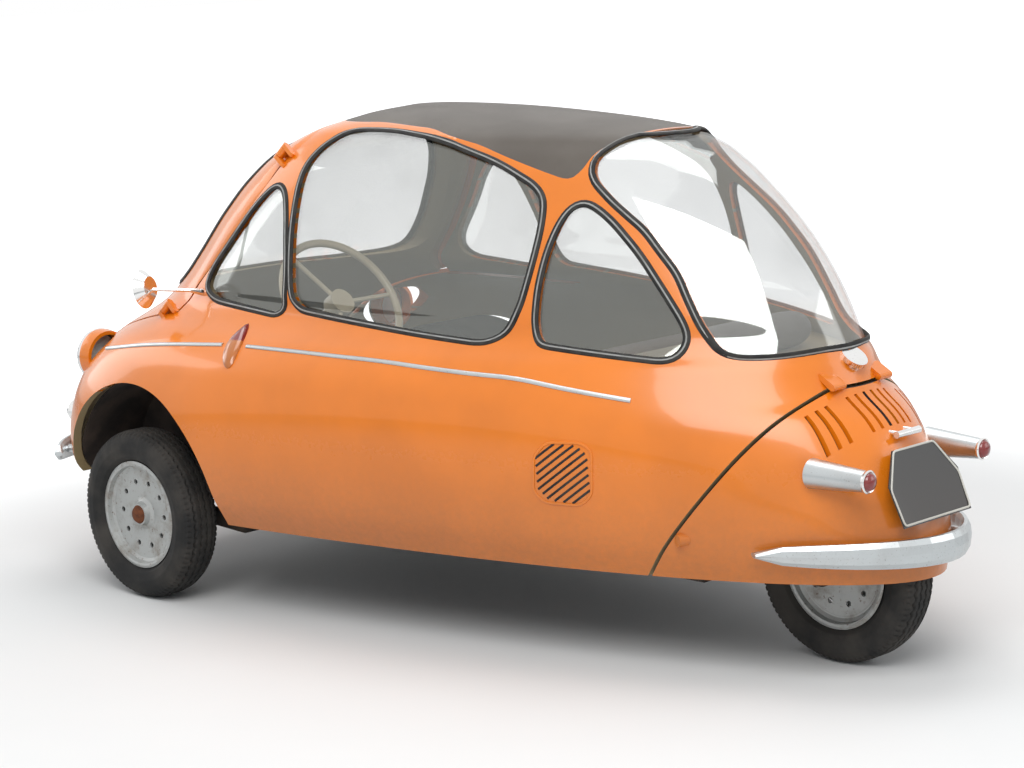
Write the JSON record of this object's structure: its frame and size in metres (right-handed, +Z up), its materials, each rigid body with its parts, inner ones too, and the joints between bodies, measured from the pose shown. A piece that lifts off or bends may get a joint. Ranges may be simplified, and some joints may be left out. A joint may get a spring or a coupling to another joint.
{
  "type": "three-wheeled bubble car",
  "caption": "Egg-shaped microcar with a front door that swings up on a leaning hinge, a fabric roof, a perspex rear dome and a lift-up tail.",
  "frame": {"origin": "on the ground under the middle of the car's length and width", "axes": "+X towards the nose, +Y to the car's left, +Z up"},
  "size_m": [2.5442, 1.366, 1.232],
  "materials": {
    "orange_paint": "gloss orange enamel",
    "tan_panel": "satin tan inner panels",
    "black_iron": "dusty black chassis paint",
    "underbody": "dark underseal",
    "clear_glass": "clear pane",
    "perspex": "clear perspex, faint haze",
    "bright_metal": "polished, lightly pitted",
    "black_rubber": "matt black rubber",
    "roof_cloth": "grey-brown woven hood cloth",
    "lamp_glass": "fluted lamp glass in a bright rim",
    "amber_lens": "amber lens with a red top",
    "silver_paint": "silver paint with a soft sheen",
    "plate_black": "black plate with a pale rim, blank",
    "wheel_silver": "worn silver wheel paint",
    "tyre_rubber": "ribbed black rubber",
    "engine_metal": "oily cast metal",
    "seat_cloth": "brown woven seat cloth",
    "cream_plastic": "aged cream plastic"
  },
  "bodies": {
    "root": {"body_shell": "orange_paint", "floor_pan": "tan_panel", "chassis_frame": "black_iron", "front_wheelhouses": "underbody", "rear_bulkhead": "tan_panel", "door_hinge_brackets": "orange_paint", "lid_hinges": "orange_paint", "fabric_roof": "roof_cloth", "rear_dome": "perspex", "side_windows": "clear_glass", "rear_quarter_windows": "clear_glass", "front_quarter_windows": "clear_glass", "headlamps": "lamp_glass", "front_lamps": "lamp_glass", "side_indicators": "amber_lens", "front_bumpers": "silver_paint", "filler_cap": "bright_metal", "wing_mirror": "bright_metal", "front_suspension": "black_iron", "rear_swing_arm": "black_iron", "engine_block": "engine_metal", "bench_cushion": "seat_cloth", "bench_back": "seat_cloth", "steering_column": "cream_plastic", "rear_roll": "roof_cloth"},
    "front_door": {"front_door": "orange_paint", "windscreen": "clear_glass", "door_hinge_arms": "orange_paint", "door_handle": "bright_metal", "wiper": "black_rubber"},
    "rear_lid": {"rear_lid": "orange_paint", "lid_handle": "bright_metal", "lid_latches": "orange_paint", "tail_lamps": "silver_paint", "rear_bumper": "silver_paint", "number_plate": "plate_black"},
    "knuckle_left": {"knuckle_left": "black_iron"},
    "knuckle_right": {"knuckle_right": "black_iron"},
    "wheel_front_left": {"wheel_front_left": "wheel_silver", "tyre_front_left": "tyre_rubber"},
    "wheel_front_right": {"wheel_front_right": "wheel_silver", "tyre_front_right": "tyre_rubber"},
    "wheel_rear": {"wheel_rear": "wheel_silver", "tyre_rear": "tyre_rubber"},
    "steering_wheel": {"steering_wheel": "cream_plastic"}
  },
  "joints": [
    {"name": "front_door_hinge", "type": "hinge", "parent": "root", "child": "front_door", "pos_m": [0.827, 0.496, 0.73], "axis": [-0.6003, -0.2674, 0.7537], "range_deg": [0, 75]},
    {"name": "rear_lid_hinge", "type": "hinge", "parent": "root", "child": "rear_lid", "pos_m": [-1.019, 0, 0.65], "axis": [0, 1, 0], "range_deg": [0, 65]},
    {"name": "steer_left", "type": "hinge", "parent": "root", "child": "knuckle_left", "pos_m": [0.79, 0.536, 0.218], "axis": [0, 0, 1], "range_deg": [-30, 30]},
    {"name": "steer_right", "type": "hinge", "parent": "root", "child": "knuckle_right", "pos_m": [0.79, -0.536, 0.218], "axis": [0, 0, 1], "range_deg": [-30, 30]},
    {"name": "steering_wheel_turn", "type": "hinge", "parent": "root", "child": "steering_wheel", "pos_m": [0.389, 0.28, 0.753], "axis": [-0.8191, 0, 0.5736], "range_deg": [-360, 360]},
    {"name": "spin_front_left", "type": "hinge", "parent": "knuckle_left", "child": "wheel_front_left", "pos_m": [0.79, 0.61, 0.218], "axis": [0, 1, 0], "continuous": true},
    {"name": "spin_front_right", "type": "hinge", "parent": "knuckle_right", "child": "wheel_front_right", "pos_m": [0.79, -0.61, 0.218], "axis": [0, 1, 0], "continuous": true},
    {"name": "spin_rear", "type": "hinge", "parent": "root", "child": "wheel_rear", "pos_m": [-0.97, 0, 0.218], "axis": [0, 1, 0], "continuous": true}
  ],
  "couplings": [
    {"joint": "steer_right", "follows": "steer_left", "ratio": 1},
    {"joint": "steering_wheel_turn", "follows": "steer_left", "ratio": 12}
  ]
}
